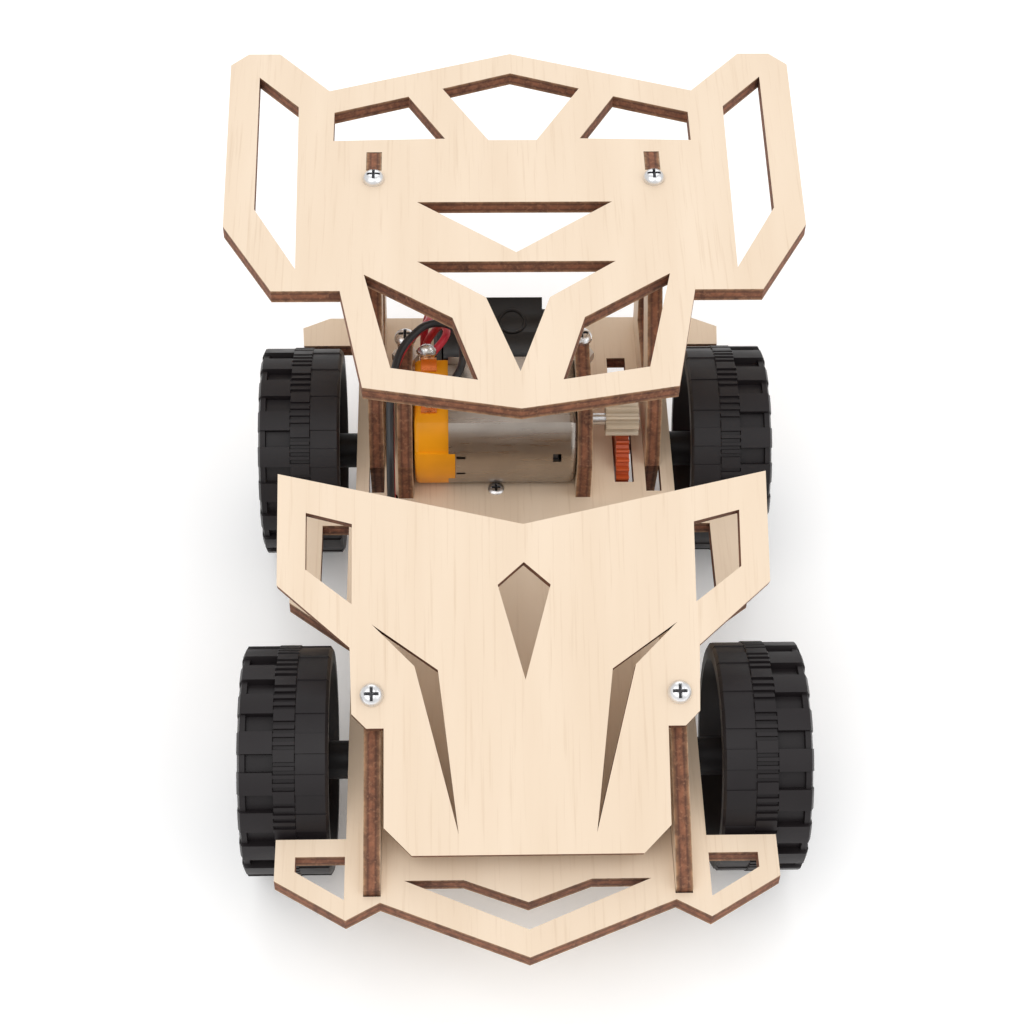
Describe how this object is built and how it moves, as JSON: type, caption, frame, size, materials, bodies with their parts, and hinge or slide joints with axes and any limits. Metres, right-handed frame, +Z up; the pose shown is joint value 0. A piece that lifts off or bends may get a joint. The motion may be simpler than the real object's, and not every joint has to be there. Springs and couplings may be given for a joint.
{
  "type": "four wheel robot chassis",
  "caption": "Laser-cut plywood car chassis with racing hood and spoiler, a small motor geared to the rear axle, a rocker switch and ribbed wheels.",
  "frame": {"origin": "on the ground, under the middle of the car's bounding box", "axes": "+X to the car's right hand as seen from above with the nose towards the viewer, +Y towards the spoiler, +Z up"},
  "size_m": [0.098, 0.1586, 0.0614],
  "materials": {
    "plywood": "bare birch plywood, laser-cut edges",
    "wheel_plastic": "moulded black plastic",
    "axle_steel": "bright steel rod",
    "screw_steel": "nickel-plated",
    "gear_orange": "orange-red nylon",
    "pinion_cream": "cream nylon",
    "motor_steel": "plated sheet steel",
    "cap_yellow": "amber-yellow plastic",
    "copper": "copper-plated",
    "magnet_ferrite": "ferrite",
    "rotor_winding": "laminations and enamelled wire",
    "switch_black": "black plastic",
    "box_black": "black plastic",
    "cell_sleeve": "printed sleeve",
    "lead_red": "red insulation",
    "lead_black": "black insulation"
  },
  "bodies": {
    "chassis": {"base_plate": "plywood", "battery_box": "box_black", "battery_box_screws": "screw_steel", "battery_cells": "cell_sleeve", "battery_contacts": "screw_steel", "front_side_plate_left": "plywood", "front_side_plate_right": "plywood", "hood_nuts": "screw_steel", "hood_plate": "plywood", "hood_screws": "screw_steel", "lead_battery_to_motor": "lead_black", "lead_battery_to_switch": "lead_red", "lead_switch_to_motor": "lead_red", "motor_can": "motor_steel", "motor_end_cap": "cap_yellow", "motor_magnets": "magnet_ferrite", "motor_plate_left": "plywood", "motor_plate_nuts": "screw_steel", "motor_plate_right": "plywood", "motor_plate_screws": "screw_steel", "motor_terminals": "copper", "rear_side_plate_left": "plywood", "rear_side_plate_right": "plywood", "spoiler_nuts": "screw_steel", "spoiler_plate": "plywood", "spoiler_screws": "screw_steel", "switch_housing": "switch_black", "switch_terminals": "copper"},
    "front_axle_set": {"front_axle": "axle_steel", "front_wheel_left": "wheel_plastic", "front_wheel_right": "wheel_plastic"},
    "rear_axle_set": {"rear_axle": "axle_steel", "rear_wheel_left": "wheel_plastic", "rear_wheel_right": "wheel_plastic", "axle_gear": "gear_orange"},
    "motor_drive": {"motor_shaft": "axle_steel", "motor_rotor": "rotor_winding", "motor_pinion": "pinion_cream"},
    "rocker": {"switch_rocker": "switch_black"}
  },
  "joints": [
    {"name": "front_axle_spin", "type": "hinge", "parent": "chassis", "child": "front_axle_set", "pos_m": [0, -0.04125, 0.018], "axis": [1, 0, 0], "continuous": true},
    {"name": "rear_axle_spin", "type": "hinge", "parent": "chassis", "child": "rear_axle_set", "pos_m": [0, 0.023, 0.018], "axis": [1, 0, 0], "continuous": true},
    {"name": "motor_spin", "type": "hinge", "parent": "chassis", "child": "motor_drive", "pos_m": [0, 0.01748, 0.032], "axis": [1, 0, 0], "continuous": true},
    {"name": "switch_rock", "type": "hinge", "parent": "chassis", "child": "rocker", "pos_m": [-0.0033, 0.04165, 0.0256], "axis": [1, 0, 0], "range_deg": [-24, 0]}
  ],
  "couplings": [
    {"joint": "motor_spin", "follows": "rear_axle_spin", "ratio": -5}
  ]
}
